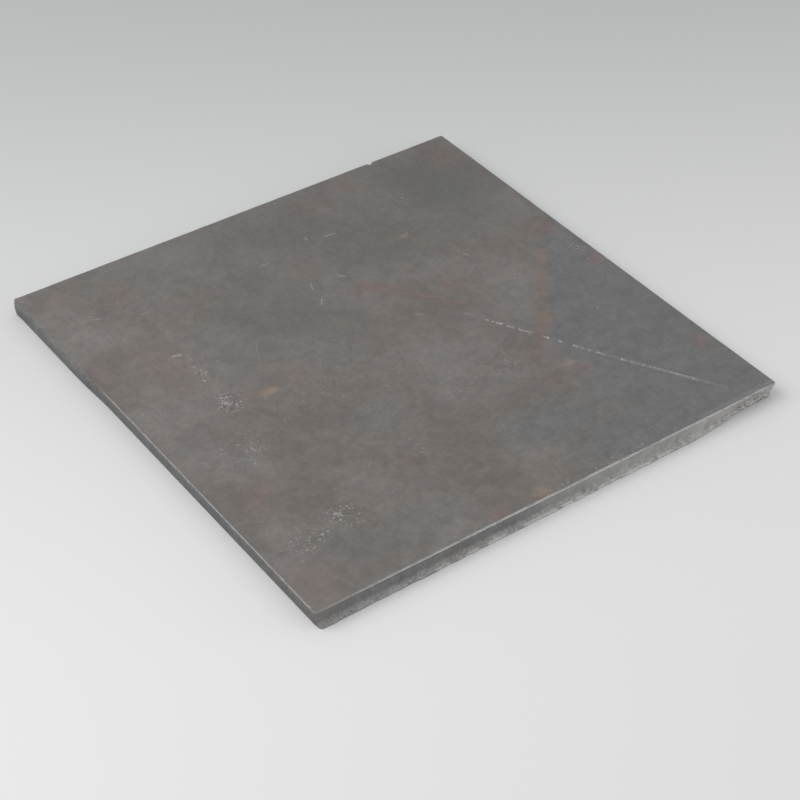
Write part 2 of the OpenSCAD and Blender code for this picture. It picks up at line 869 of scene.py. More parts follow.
UNDER_MARKS = FaceMarks(
    rust=(
        Patch((-80, 70), (40, 26), 0.6),
        Patch((40, 110), (26, 18), 0.5),
        Patch((110, -30), (24, 46), 0.55),
        Patch((-30, -60), (34, 20), 0.4),
        Patch((-128, -110), (20, 24), 0.7),
        Patch((70, -128), (30, 14), 0.6),
    ),
    ochre=(Patch((25, 20), (8, 6), 0.7), Patch((-95, -20), (6, 7), 0.6)),
    grey=(Patch((60, 50), (70, 60), 0.7), Patch((-60, -100), (60, 36), 0.6)),
    grey_bands=(Score((-140, 120), (-90, -20), 60.0, 0.6),),
    dark=(Patch((-20, 90), (34, 30), 0.6), Patch((90, 90), (30, 40), 0.5), Patch((-100, 10), (24, 50), 0.5)),
    painted_shade=(Patch((40, -60), (120, 90), 0.4),),
    flaked=(
        Patch((-60, 20), (30, 24), 0.5),
        Patch((90, -80), (28, 24), 0.5),
        Patch((10, -120), (40, 14), 0.4),
    ),
    rust_scores=(Score((-40, 140), (30, 40), 9.0, 0.5),),
    tan_scores=(Score((-20, -30), (60, -90), 10.0, 0.8),),
    scratches=(
        Scratch((-110, 60), (-60, -30), 1.1, ((0.0, 0.6), (0.35, 0.0), (0.45, 0.6), (0.8, 0.3))),
        Scratch((20, -20), (96, -66), 1.0, ((0.0, 0.3), (0.2, 0.5), (0.6, 0.0), (0.65, 0.5))),
    ),
    fine_scores_and_glints=(Score((60, 90), (72, 96), 0.9, 0.6), Score((-20, -10), (-16, 2), 0.9, 0.6)),
)


@dataclass(frozen=True)
class Ground:
    """A broad face's coordinates and tones in one material, and the marks that are laid over them.

    Attributes:
        graph: The material's graph.
        effects: The shared effect groups.
        flat: Coordinates along the face, in millimetres.
        place: The same coordinates in a layer of noise of the face's own.
        wander: How far soft marks wander at each point, in millimetres.
        uneven: Coordinates that wander along the face.
        skin: Node with the tones of the rolled skin.
    """

    graph: Graph
    effects: Effects
    flat: Socket
    place: Socket
    wander: Socket
    uneven: Socket
    skin: bpy.types.Node

    def tone(self, name: str) -> Socket:
        """One tone of the skin: Cloud, Mottle or Grain."""
        return self.skin.outputs[name]

    def frayed(self, share: float) -> Socket:
        """Coordinates that wander by a share of the whole wander."""
        return self.graph.vector("ADD", self.flat, self.graph.vector("SCALE", self.wander, share))

    def patches(self, patches: tuple[Patch, ...]) -> Feed:
        """Lays a row of patches.

        Args:
            patches: The patches.

        Returns:
            The strongest patch's mask at each point.
        """
        mask: Feed = 0.0
        for patch in patches:
            mask = self.graph.use(
                self.effects.patch,
                Place=self.uneven,
                Centre=(*patch.centre, 0.0),
                Radius=(*patch.radius, 1.0),
                Strength=patch.strength,
                Before=mask,
            ).outputs["Mask"]
        return mask

    def scores(self, place: Socket, scores: tuple[Score, ...]) -> Feed:
        """Lays a row of straight marks.

        Args:
            place: Coordinates, in millimetres.
            scores: The marks.

        Returns:
            The strongest mark's mask at each point.
        """
        mask: Feed = 0.0
        for score in scores:
            mask = self._straight(place, score, score.strength, mask).outputs["Mask"]
        return mask

    def scratches(self, place: Socket, scratches: tuple[Scratch, ...]) -> Feed:
        """Lays the long scratches.

        Args:
            place: Coordinates, in millimetres.
            scratches: The scratches.

        Returns:
            The strongest scratch's mask at each point.
        """
        mask: Feed = 0.0
        for scratch in scratches:
            line = self._straight(place, scratch, 1.0, 0.0).outputs
            ramp = self.graph.add("ValToRGB")
            ramp.color_ramp.interpolation = "CONSTANT"
            shares = ramp.color_ramp.elements
            shares.remove(shares[1])
            for index, (share, strength) in enumerate(scratch.stops):
                stop = shares.new(share) if index else shares[0]
                stop.color = (strength, strength, strength, 1.0)
            self.graph.feed(ramp.inputs["Fac"], line["Along"])
            mask = self.graph.most(mask, self.graph.product(line["Mask"], ramp.outputs["Color"]))
        return mask

    def _straight(
        self, place: Socket, mark: Score | Scratch, strength: float, before: Feed
    ) -> bpy.types.Node:
        """Lays one straight mark.

        Args:
            place: Coordinates, in millimetres.
            mark: The mark.
            strength: Its strength.
            before: Mask of the marks before it.

        Returns:
            The mark's node.
        """
        return self.graph.use(
            self.effects.score,
            Place=place,
            Start=(*mark.start, 0.0),
            End=(*mark.end, 0.0),
            Half_Width=mark.width / 2,
            Strength=strength,
            Before=before,
        )


@dataclass(frozen=True)
class MillScale:
    """Blue-brown mill scale of a broad face, with its rust, flaked specks and scratches, and broad patches of
    painted shade; the upper face also has two painted glints.

    A band says how a mask follows a noise, and a line how a tone, a density or a dullness follows one. Each
    pair of hairlines is the turn of a set, in radians, and the level of noise from which it is kept.
    """

    name: str
    marks: FaceMarks
    seed: float
    brown: Colour = (0.123, 0.110, 0.101)
    grey: Colour = (0.119, 0.119, 0.119)
    dark: Colour = (0.101, 0.101, 0.096)
    pale: Colour = (0.150, 0.137, 0.128)
    rust: Colour = (0.148, 0.110, 0.103)
    tan: Colour = (0.150, 0.122, 0.106)
    ochre: Colour = (0.210, 0.160, 0.122)
    bare: Colour = (0.360, 0.350, 0.340)
    wander: Noise = Noise(14.0, 3.0, 0.5)
    wander_reach: float = 13.0
    rust_fray: float = 0.3
    tan_fray: float = 0.1
    cloud_band: Band = Band(0.34, 0.70)
    grey_band: Band = Band(0.08, 0.5, 0.0, 0.95)
    dark_band: Band = Band(0.25, 0.65, 0.5, 1.0)
    rust_band: Band = Band(0.34, 0.58, 0.35, 1.0)
    flaked_band: Band = Band(0.36, 0.56, 0.4, 1.0)
    mottle_tone: Line = Line(0.7, 0.65)
    grain_tone: Line = Line(0.5, 0.75)
    painted_shade_tone: Line = Line(-0.2, 1.0)
    pit_density: Line = Line(0.8, 0.1)
    pit_size: float = 2.0
    pit_tone: Line = Line(-0.35, 1.0)
    fleck_size: float = 1.7
    fleck_share: float = 0.88
    hairlines: tuple[tuple[float, float], ...] = ((0.5, 0.52), (-0.9, 0.54))
    hair_share: float = 0.2
    gap: Noise = Noise(1.5, 2.0)
    gap_band: Band = Band(0.38, 0.58, 0.2, 1.0)
    jag: Noise = Noise(5 / 3, 2.0, 0.5)
    jag_reach: Triple = (2.0, 2.0, 0.0)
    fine_share: float = 0.6
    mottle_dullness: Line = Line(0.25, 0.46)
    rust_dullness: float = 0.15
    bare_dullness: float = -0.15
    bare_metal: float = 0.35
    mottle_height: float = 0.10
    grain_height: float = 0.05
    relief: float = 0.35

    def material(self, effects: Effects) -> bpy.types.Material:
        """Builds the finish.

        Args:
            effects: The shared effect groups.

        Returns:
            The material.
        """
        material, graph, shader = new_finish(self.name)
        ground = self._ground(graph, effects)
        mottle = ground.tone("Mottle")
        colour, rust = self._stained(ground)
        density = graph.product(ground.patches(self.marks.flaked), graph.fit(mottle, self.flaked_band))
        colour = graph.blend(1.0, colour, self._shade(ground, density), "MULTIPLY")
        bare = self._bare_mask(ground, density)

        graph.feed(shader.inputs["Base Color"], graph.blend(bare, colour, self.bare))
        dull = graph.line(rust, Line(self.rust_dullness, graph.line(mottle, self.mottle_dullness)))
        graph.feed(shader.inputs["Roughness"], graph.line(bare, Line(self.bare_dullness, dull)))
        graph.feed(shader.inputs["Metallic"], graph.product(bare, self.bare_metal))
        grain = graph.product(ground.tone("Grain"), self.grain_height)
        relief = graph.line(mottle, Line(self.mottle_height, grain))
        graph.feed(shader.inputs["Normal"], bump(graph, relief, self.relief))
        return material

    def _ground(self, graph: Graph, effects: Effects) -> Ground:
        """Lays the coordinates and the tones of the skin.

        Args:
            graph: The material's graph.
            effects: The shared effect groups.

        Returns:
            What the marks are laid over.
        """
        flat = graph.vector("MULTIPLY", graph.place(), LEVEL)
        place = graph.vector("ADD", flat, (0.0, 0.0, self.seed))
        skin = graph.use(effects.skin, Place=place)
        wander = graph.vector("SCALE", graph.drift(place, self.wander), self.wander_reach)
        uneven = graph.vector("ADD", flat, graph.vector("MULTIPLY", wander, LEVEL))
        return Ground(graph, effects, flat, place, wander, uneven, skin)

    def _stained(self, ground: Ground) -> tuple[Socket, Socket]:
        """Lays the stains on the scale, and its darker patches; two broad ones on the upper face are painted
        shade.

        Args:
            ground: What they are laid over.

        Returns:
            The colour, and the mask of the rust.
        """
        graph, marks, mottle = ground.graph, self.marks, ground.tone("Mottle")
        colour = graph.blend(graph.fit(ground.tone("Cloud"), self.cloud_band), self.brown, self.pale)
        grey = graph.most(ground.patches(marks.grey), ground.scores(ground.uneven, marks.grey_bands))
        colour = graph.blend(graph.fit(grey, self.grey_band), colour, self.grey)
        dark = graph.product(ground.patches(marks.dark), graph.fit(mottle, self.dark_band))
        colour = graph.blend(dark, colour, self.dark)
        broken = graph.fit(mottle, self.rust_band)
        scored = ground.scores(ground.frayed(self.rust_fray), marks.rust_scores)
        rust = graph.product(graph.most(ground.patches(marks.rust), scored), broken)
        colour = graph.blend(rust, colour, self.rust)
        tan = graph.product(ground.scores(ground.frayed(self.tan_fray), marks.tan_scores), broken)
        colour = graph.blend(tan, colour, self.tan)
        ochre = graph.product(ground.patches(marks.ochre), broken)
        return graph.blend(ochre, colour, self.ochre), rust

    def _shade(self, ground: Ground, density: Socket) -> Socket:
        """Shades the scale by its mottle and grain, its broad patches of painted shade and its pits.

        Args:
            ground: What the shade is laid over.
            density: How densely the scale has flaked.

        Returns:
            The factor for the colour.
        """
        graph = ground.graph
        tone = graph.line(ground.tone("Mottle"), self.mottle_tone)
        fine = graph.line(ground.tone("Grain"), self.grain_tone)
        # painted shade: the broad patches darken the colour
        painted_shade = graph.line(ground.patches(self.marks.painted_shade), self.painted_shade_tone)
        pitted = graph.line(density, self.pit_density)
        pits = graph.use(ground.effects.flecks, Place=ground.place, Density=pitted, Size=self.pit_size)
        return graph.product(tone, fine, painted_shade, graph.line(pits.outputs["Mask"], self.pit_tone))

    def _bare_mask(self, ground: Ground, density: Socket) -> Socket:
        """Bares the steel in flecks, hairlines and scratches, and along the arrises, and paints two glints on
        the west arris.

        Args:
            ground: What they are laid over.
            density: How densely the scale has flaked.

        Returns:
            The mask of the bare steel.
        """
        graph, effects, flat = ground.graph, ground.effects, ground.flat
        flecks = graph.use(effects.flecks, Place=flat, Density=density, Size=self.fleck_size).outputs["Mask"]
        hairs = [
            graph.use(effects.hairlines, Place=flat, Turn=turn, Share=share).outputs["Mask"]
            for turn, share in self.hairlines
        ]
        gap = graph.fit(graph.noise(flat, self.gap), self.gap_band)
        jagged = graph.vector("MULTIPLY", graph.drift(flat, self.jag), self.jag_reach)
        jagged = graph.vector("ADD", flat, jagged)
        return graph.most(
            graph.product(flecks, self.fleck_share),
            graph.product(ground.scratches(jagged, self.marks.scratches), gap),
            graph.product(ground.scores(jagged, self.marks.fine_scores_and_glints), self.fine_share),
            graph.product(graph.most(*hairs), self.hair_share),
            graph.use(effects.wear, Place=ground.place).outputs["Mask"],
        )


@dataclass(frozen=True)
class CutSteel:
    """Sheared side: a dark burnished land, a paler torn slope, arrises rubbed bright, and painted light that
    pales the south side towards its right end.

    Bands and lines are as in the mill scale.
    """

    name: str
    land: Colour = (0.112, 0.112, 0.112)
    torn: Colour = (0.290, 0.288, 0.284)
    # palest steel, for the torn corners and for the painted light on the sides
    torn_pale_and_painted_light: Colour = (0.410, 0.407, 0.400)
    rubbed: Colour = (0.530, 0.525, 0.515)
    rust: Colour = (0.190, 0.150, 0.130)
    torn_band: Band = Band(0.0, 0.5)
    torn_pale_and_painted_light_band: Band = Band(0.5, 1.0)
    rust_band: Band = Band(0.5, 0.75, 0.0, 0.25)
    crest_band: Band = Band(0.42, 0.54, 0.2, 1.0)
    drag: Noise = Noise(0.9, 3.0, 0.6)
    drag_stretch: Triple = (1.0, 1.0, 0.12)
    drag_tone: Line = Line(0.5, 0.75)
    mottle_tone: Line = Line(0.9, 0.55)
    torn_rough: float = 0.22
    shattered_rough: float = 0.5
    hole_size: float = 1.5
    hole_shift: Triple = (40.0, 25.0, 10.0)
    chip_size: float = 1.3
    torn_dullness: Line = Line(0.15, 0.45)
    rubbed_metal: Line = Line(0.1, 0.3)
    torn_grit: Line = Line(0.5, 0.05)
    drag_height: float = 0.05
    relief: float = 0.5

    def material(self, effects: Effects) -> bpy.types.Material:
        """Builds the finish.

        Args:
            effects: The shared effect groups.

        Returns:
            The material.
        """
        material, graph, shader = new_finish(self.name)
        place = graph.place()
        skin = graph.use(effects.skin, Place=place).outputs
        torn, pale, shattered = (graph.share(zone) for zone in (Zone.TORN, Zone.PALE, Zone.SHATTERED))
        drag = graph.noise(graph.vector("MULTIPLY", place, self.drag_stretch), self.drag)
        rough = graph.line(shattered, Line(self.shattered_rough, graph.product(torn, self.torn_rough)))

        colour = graph.blend(graph.fit(pale, self.torn_band), self.land, self.torn)
        # torn corners and painted light blend towards the palest steel
        colour = graph.blend(graph.fit(pale, self.torn_pale_and_painted_light_band), colour, self.torn_pale_and_painted_light)
        colour = graph.blend(graph.fit(skin["Cloud"], self.rust_band), colour, self.rust)
        aside = graph.vector("ADD", place, self.hole_shift)
        holes = graph.use(effects.flecks, Place=aside, Density=torn, Size=self.hole_size).outputs["Mask"]
        solid = graph.math("SUBTRACT", 1.0, graph.product(holes, rough))
        tone = graph.line(skin["Mottle"], self.mottle_tone)
        shade = graph.product(tone, graph.line(drag, self.drag_tone), solid)
        colour = graph.blend(1.0, colour, shade, "MULTIPLY")
        chips = graph.use(effects.flecks, Place=place, Density=torn, Size=self.chip_size).outputs["Mask"]
        crest = graph.product(graph.share(Zone.RIDGE), graph.fit(skin["Mottle"], self.crest_band))
        wear = graph.use(effects.wear, Place=place).outputs["Mask"]
        rubbed = graph.most(wear, graph.product(chips, rough), crest)

        graph.feed(shader.inputs["Base Color"], graph.blend(rubbed, colour, self.rubbed))
        graph.feed(shader.inputs["Roughness"], graph.line(torn, self.torn_dullness))
        graph.feed(shader.inputs["Metallic"], graph.line(rubbed, self.rubbed_metal))
        grit = graph.product(skin["Grain"], graph.line(torn, self.torn_grit))
        relief = graph.line(drag, Line(self.drag_height, grit))
        graph.feed(shader.inputs["Normal"], bump(graph, relief, self.relief))
        return material


def new_finish(name: str) -> tuple[bpy.types.Material, Graph, bpy.types.Node]:
    """Starts a material.

    Args:
        name: The material's name.

    Returns:
        The material, its graph and its Principled shader.
    """
    material = bpy.data.materials.new(name)
    material.use_nodes = True
    return material, Graph(material.node_tree), material.node_tree.nodes["Principled BSDF"]


def bump(graph: Graph, height: Socket, strength: float) -> Socket:
    """Adds a Bump node.

    Args:
        graph: The material's graph.
        height: Height of the relief, in millimetres.
        strength: Strength of the relief.

    Returns:
        The bumped normal.
    """
    node = graph.add("Bump")
    node.inputs["Strength"].default_value = strength
    node.inputs["Distance"].default_value = MM
    graph.feed(node.inputs["Height"], height)
    return node.outputs[0]


@dataclass
class SteelPlate:
    """The plate: a block with four sheared sides, torn, burred and knocked about.

    Attributes:
        low: Lowest corner of the solid's box, in metres.
        high: Highest corner of that box, in metres.
        section: Section of the cut sides.
        corner: Depth inside each side of a cut that keeps the rounded corners apart from the rest.
        skin: Depth below a broad face that still has its mill scale.
        rim: Depths inside each side at which the broad faces are cut.
        rows: Heights at which the cut sides are cut.
        spacings: Depths inside a side, and the spacing that edges no deeper than that are divided to.
        whole_run: Spacings that an edge may be long without being divided.
        alike: Difference in length of edges that are divided alike.
        round_steps: Faces across each rounding.
        smooth_angle: Angle under which neighbouring faces are shaded as one, in degrees.
        torn_over: Height above the torn slope at which its tears are gone.
        torn_under: Depth below the slope's upper end at which they are full.
        unshattered: Depth below the rolled-over face at which shattered stretches are full.
        line_over: Height above the torn slope at which its wavy upper line is straight again.
        flare_over: Height above the torn slope at which a flared lip starts.
        upper_lip: Share of the lip's waviness on the sides cut from below.
        ridge_fade: Fade of the bright burr.
        slope_fade: Fade of the paler slope on the sides cut from above.
        dull_fade: Fade of the paler slope on the sides cut from below.
        least_pale: Paleness of a plain land.
        slope_pale: Paleness of a plain slope.
        painted_light_gain: What a stretch of painted light adds to the paleness of its slope.
        rolled_wear: Wear of a rolled-over arris.
        burr_wear: Wear of an arris with a burr.
        torn_stretches: Where the sides are torn over their whole height.
        worn_stretches: Where the upper arrises are rubbed bright.
        burred_stretches: Where the burr is bright.
        painted_light_stretches: Where light is painted onto the sides, paling them.
        flush_stretches: Where the land stands out as far as the lip.
        broken_lips: Where the lip broke away.
        flared_lips: Where the lip stands out further.
        tears: Layers of shape on the cut sides, in order.
        knocks: Corners and arrises that were knocked in.
    """

    low: Vector
    high: Vector
    section: ShearSection = ShearSection()
    corner: float = 3.0
    skin: float = 0.25
    rim: tuple[float, ...] = (0.9, 2.6, 20.0)
    rows: tuple[float, ...] = (0.3, 0.5, 1.1, 1.5, 1.9, 2.3, 2.7, 3.7, 4.3, 5.0)
    spacings: tuple[tuple[float, float], ...] = ((200.0, 13.0), (4.0, 2.6), (3.2, 0.52))
    whole_run: float = 1.5
    alike: float = 0.06
    round_steps: int = 4
    smooth_angle: float = 38.0
    torn_over: float = 0.8
    torn_under: float = 0.3
    unshattered: float = 1.0
    line_over: float = 2.5
    flare_over: float = 1.5
    upper_lip: float = 0.3
    ridge_fade: Fade = Fade(2.1, 1.0)
    slope_fade: Fade = Fade(6.5, 0.8)
    dull_fade: Fade = Fade(6.0, 3.0)
    least_pale: float = 0.18
    slope_pale: float = 0.42
    painted_light_gain: float = 0.6
    rolled_wear: ArrisWear = ArrisWear(0.3, 0.8, 0.6)
    burr_wear: ArrisWear = ArrisWear(0.1, 1.0, 0.9)
    torn_stretches: tuple[Stretch, ...] = (
        Stretch(Side.SOUTH, 116.0, 160.0, 0.9),
        Stretch(Side.NORTH, -160.0, -122.0, 0.35),
        Stretch(Side.EAST, 130.0, 170.0, 0.6, 20.0),
        Stretch(Side.WEST, 128.0, 160.0, 0.35),
    )
    worn_stretches: tuple[Stretch, ...] = (
        Stretch(Side.SOUTH, -210.0, 80.0, 0.7, 130.0),
        Stretch(Side.SOUTH, -90.0, 75.0, 1.0, 40.0),
        Stretch(Side.SOUTH, 40.0, 165.0, 0.62, 30.0),
        Stretch(Side.WEST, -160.0, 62.0, 0.6, 20.0),
        Stretch(Side.EAST, -130.0, 90.0, 0.5, 30.0),
        Stretch(Side.NORTH, -80.0, 160.0, 0.6, 30.0),
    )
    burred_stretches: tuple[Stretch, ...] = (
        Stretch(Side.SOUTH, -135.0, 118.0, 0.85, 90.0),
        Stretch(Side.EAST, -120.0, 120.0, 0.8, 60.0),
    )
    # painted light: paler towards the south side's right end and the east side's south end
    painted_light_stretches: tuple[Stretch, ...] = (
        Stretch(Side.SOUTH, -110.0, 400.0, 0.5, 180.0),
        Stretch(Side.SOUTH, 30.0, 300.0, 0.85, 80.0),
        Stretch(Side.EAST, -220.0, 40.0, 0.35, 90.0),
    )
    flush_stretches: tuple[Stretch, ...] = (
        Stretch(Side.WEST, 44.0, 190.0, 1.0, 36.0),
        Stretch(Side.NORTH, -190.0, -100.0, 1.0, 36.0),
    )
    broken_lips: tuple[BrokenLip, ...] = (
        BrokenLip(Side.SOUTH, 100.0, 180.0, ease=28.0),
        BrokenLip(Side.EAST, -180.0, -112.0, ease=24.0, height=4.3),
    )
    flared_lips: tuple[Stretch, ...] = (
        Stretch(Side.SOUTH, -175.0, 108.0, 1.0, 24.0),
    )
    tears: tuple[Tear, ...] = (
        Tear(Zone.FLUSH_WEST, Way.X, -1.2),
        Tear(Zone.FLUSH_NORTH, Way.Y, 1.2),
        Tear(Zone.BROKEN_SOUTH, Way.Y, 3.0),
        Tear(Zone.BROKEN_EAST, Way.X, -2.6),
        Tear(Zone.FLARED_SOUTH, Way.Y, -1.0),
        Tear(Zone.LAND_LINE, Way.Z, 1.5, 14.0, octaves=3),
        Tear(Zone.LIP_EAST_WEST, Way.X, 1.0, 8.0, (1.0, 1.0, 0.4), octaves=4),
        Tear(Zone.LIP_NORTH_SOUTH, Way.Y, 1.0, 8.0, (1.0, 1.0, 0.4), octaves=4),
        Tear(Zone.TORN, Way.NORMAL, 1.1, 1.4, (1.8, 1.8, 0.7), hard=True, octaves=3),
    )
    knocks: tuple[Knock, ...] = (
        Knock((-149.5, -149.5, 0.0), (0.3, 0.2, 0.0), 4.0),
        Knock((-150.0, -142.9, 10.0), (0.4, 0.0, -0.5), 1.8),
        Knock((-150.0, -120.7, 10.0), (0.3, 0.0, -0.4), 1.6),
        Knock((93.0, 150.0, 10.0), (0.0, -0.8, -0.5), 2.2),
        Knock((-149.5, 149.5, 5.0), (-0.7, 0.5, 0.0), 9.0),
        Knock((138.0, -149.0, 0.0), (0.0, 0.5, 0.5), 16.0),
    )

    @property
    def half(self) -> Vector:
        """Half of the plate's size, in millimetres."""
        return millimetres(self.high - self.low) / 2

    @property
    def thick(self) -> float:
        """The plate's thickness, in millimetres."""
        return millimetres(self.high - self.low).z

    def reach(self, side: Side) -> float:
        """Distance of a side's widest line from the plate's middle, in millimetres."""
        return self.half.x if side.outward.x else self.half.y

    def depth(self, side: Side, place: Vector) -> float:
        """How far inside a side's widest line a place lies, in millimetres."""
        return self.reach(side) - place.dot(side.outward)

    def rise(self, side: Side, place: Vector) -> float:
        """Height of a place above the face where that side's burr lip is, in millimetres."""
        return place.z if side.from_above else self.thick - place.z

    def build(self) -> bpy.types.Object:
        """Models the plate.

        Returns:
            The finished mesh object, at the origin.
        """
        piece = self._block()
        self._shear(piece)
        self._round_arrises(piece)
        self._divide(piece)
        self._assign_slots(piece)
        self._mark_zones(piece)
        self._tear(piece)
        self._knock(piece)
        make_active(piece)
        bpy.ops.object.shade_smooth_by_angle(angle=math.radians(self.smooth_angle))
        return piece

    def _block(self) -> bpy.types.Object:
        """Adds a block of the plate's size with its upright corners rounded.

        Returns:
            The mesh object.
        """
        bpy.ops.object.select_all(action="DESELECT")
        bpy.ops.mesh.primitive_cube_add(size=1.0, location=(self.low + self.high) / 2)
        piece = bpy.context.active_object
        piece.name = piece.data.name = "sheared_plate"
        piece.scale = self.high - self.low
        bpy.ops.object.transform_apply(location=True, rotation=True, scale=True)
        with Editing(piece) as edit:
            edit.pick(Pick.EDGE, self._is_upright)
            bpy.ops.mesh.bevel(offset=self.section.corner_r * MM, segments=self.round_steps, profile=ROUND)
        return piece

    @staticmethod
    def _is_upright(edge: bmesh.types.BMEdge) -> bool:
        """Whether an edge stands upright."""
        return abs((edge.verts[0].co - edge.verts[1].co).normalized().z) > UPRIGHT

    def _shear(self, piece: bpy.types.Object) -> None:
        """Cuts the levels of the sheared section and pulls each burnished land in behind its lip.

        Args:
            piece: The plate's mesh object.
        """
        cut = self.section
        thick = self.thick
        with Editing(piece) as edit:
            for level in (cut.lip_h, cut.land_from, thick - cut.land_from, thick - cut.lip_h):
                edit.cut(UP * level, UP)
            for side in Side:
                edit.cut(side.outward * (self.reach(side) - self.corner), side.outward)
            for side in Side:
                edit.pick(Pick.VERT, lambda vert: self._on_land(side, millimetres(vert.co)))
                bpy.ops.transform.translate(value=-side.outward * cut.lean * MM)

    def _on_land(self, side: Side, place: Vector) -> bool:
        """Whether a point of the block belongs to a side's burnished land."""
        near_side = self.depth(side, place) < self.section.corner_r + NEAR
        return near_side and self.rise(side, place) > self.section.land_from - NEAR

    def _round_arrises(self, piece: bpy.types.Object) -> None:
        """Rounds the rollovers, and breaks the burr arrises a little.

        Args:
            piece: The plate's mesh object.
        """
        widest = self.section.rollover_r
        with Editing(piece) as edit:
            mesh = bmesh.from_edit_mesh(piece.data)
            for width in sorted({self._rounding(edge) for edge in mesh.edges} - {0.0}):
                edit.pick(Pick.EDGE, lambda edge: self._rounding(edge) == width)
                bpy.ops.transform.edge_bevelweight(value=width / widest)
        apply_modifier(
            piece,
            "BEVEL",
            width=widest * MM,
            segments=self.round_steps,
            limit_method="WEIGHT",
            use_clamp_overlap=False,
        )

    def _is_rim(self, edge: bmesh.types.BMEdge) -> bool:
        """Whether an edge lies between a broad face and a side.

        Args:
            edge: The edge.

        Returns:
            Whether it does.
        """
        heights = [millimetres(vert.co).z for vert in edge.verts]
        level = all(z < NEAR for z in heights) or all(z > self.thick - NEAR for z in heights)
        return level and any(abs(face.normal.z) < STEEP for face in edge.link_faces)

    def _rounding(self, edge: bmesh.types.BMEdge) -> float:
        """Width of the rounding on a rim edge, in millimetres, eased round the corners.

        Args:
            edge: The edge.

        Returns:
            The width, and 0 for an edge that isn't on a rim.
        """
        if not self._is_rim(edge):
            return 0.0
        run = edge.verts[0].co - edge.verts[1].co
        middle = millimetres((edge.verts[0].co + edge.verts[1].co) / 2)
        sides = (Side.EAST if middle.x > 0 else Side.WEST, Side.NORTH if middle.y > 0 else Side.SOUTH)
        rolled = (self.rise(side, middle) > self.thick / 2 for side in sides)
        across, along = (self.section.rollover_r if roll else self.section.burr_break for roll in rolled)
        turn = math.atan2(abs(run.x), abs(run.y)) / (math.pi / 2)
        return round(across + (along - across) * turn, 2)

    def _divide(self, piece: bpy.types.Object) -> None:
        """Divides the cut sides finely, and the broad faces more coarsely away from their rims.

        Args:
            piece: The plate's mesh object.
        """
        thick = self.thick
        with Editing(piece) as edit:
            for side in Side:
                for depth in self.rim:
                    edit.cut(side.outward * (self.reach(side) - depth), side.outward)
            for level in (*self.rows, *(thick - row for row in self.rows if row < thick / 2)):
                edit.cut(UP * level, UP)
            for reach, spacing in self.spacings:
                whole = self.whole_run * spacing
                for length in edit.lengths(lambda edge: self._runs_along(edge, reach, whole, math.inf)):
                    least, most = length - self.alike, length + self.alike
                    edit.pick(Pick.EDGE, lambda edge: self._runs_along(edge, reach, least, most))
                    bpy.ops.mesh.subdivide(number_cuts=round(length / spacing) - 1)
            edit.pick(Pick.FACE, lambda face: len(face.verts) > QUAD)
            bpy.ops.mesh.quads_convert_to_tris(quad_method="BEAUTY", ngon_method="BEAUTY")

    def _runs_along(self, edge: bmesh.types.BMEdge, reach: float, shortest: float, longest: float) -> bool:
        """Whether an edge runs along one of the sides, near enough to it.

        Args:
            edge: The edge to test.
            reach: Furthest that the edge may lie inside the side, in millimetres.
            shortest: Least length of the edge, in millimetres.
            longest: Greatest length of the edge, in millimetres.

        Returns:
            Whether it does.
        """
        run = millimetres(edge.verts[0].co - edge.verts[1].co)
        if not shortest <= run.length <= longest:
            return False
        middle = millimetres(edge.verts[0].co + edge.verts[1].co) / 2
        straight = ALIGNED * run.length
        along_x = abs(run.x) > straight and self.half.y - abs(middle.y) < reach
        along_y = abs(run.y) > straight and self.half.x - abs(middle.x) < reach
        return along_x or along_y

    def _zones(self, place: Vector) -> dict[Zone, float]:
        """How far a point of the plate belongs to each zone of the cut sides.

        Args:
            place: The point, in millimetres.

        Returns:
            A weight from 0 to 1 for each zone.
        """
        weights = dict.fromkeys(Zone, 0.0)
        inmost = self.section.face_from
        on_face = min(place.z, self.thick - place.z) <= NEAR
        for side in Side:
            depth = self.depth(side, place)
            if side in BROKEN_ZONES:
                broken = max(lip.share_at(side, place, self.rise(side, place)) for lip in self.broken_lips)
                weights[BROKEN_ZONES[side]] = broken * smooth_step(self.rim[-1], inmost, depth)
            if depth > inmost + NEAR:
                continue
            for zone, weight in self._side_zones(side, place).items():
                if zone in FACE_ZONES or not on_face:
                    weights[zone] = max(weights[zone], weight)
        return weights

    def _side_zones(self, side: Side, place: Vector) -> dict[Zone, float]:
        """How far a point of one side belongs to each of the side's zones.

        Args:
            side: The side.
            place: The point, in millimetres.

        Returns:
            A weight from 0 to 1 for each of those zones.
        """
        lip_h, land, rise = self.section.lip_h, self.section.land_from, self.rise(side, place)
        torn = smooth_step(land + self.torn_over, land - self.torn_under, rise)
        torn *= smooth_step(0.0, lip_h, rise)
        torn_up = self._share(self.torn_stretches, side, place)
        shattered = torn_up * smooth_step(self.thick, self.thick - self.unshattered, rise)
        line = smooth_step(lip_h, land, rise) * smooth_step(land + self.line_over, land, rise)
        lip_zone = Zone.LIP_EAST_WEST if side.outward.x else Zone.LIP_NORTH_SOUTH
        zones = {
            Zone.TORN: max(torn, shattered),
            Zone.SHATTERED: shattered,
            Zone.ARRIS: self._wear(side, place),
            Zone.RIDGE: self.ridge_fade.at(rise) * self._share(self.burred_stretches, side, place),
            Zone.PALE: self._paleness(side, place, torn_up),
            Zone.LAND_LINE: line,
            lip_zone: smooth_step(land, lip_h, rise) * (1.0 if side.from_above else self.upper_lip),
        }
        if side in FLUSH_ZONES:
            flush = self._share(self.flush_stretches, side, place)
            zones[FLUSH_ZONES[side]] = flush * smooth_step(0.0, land, rise)
        if side in FLARED_ZONES:
            flared = self._share(self.flared_lips, side, place)
            zones[FLARED_ZONES[side]] = flared * smooth_step(land + self.flare_over, lip_h, rise)
        return zones

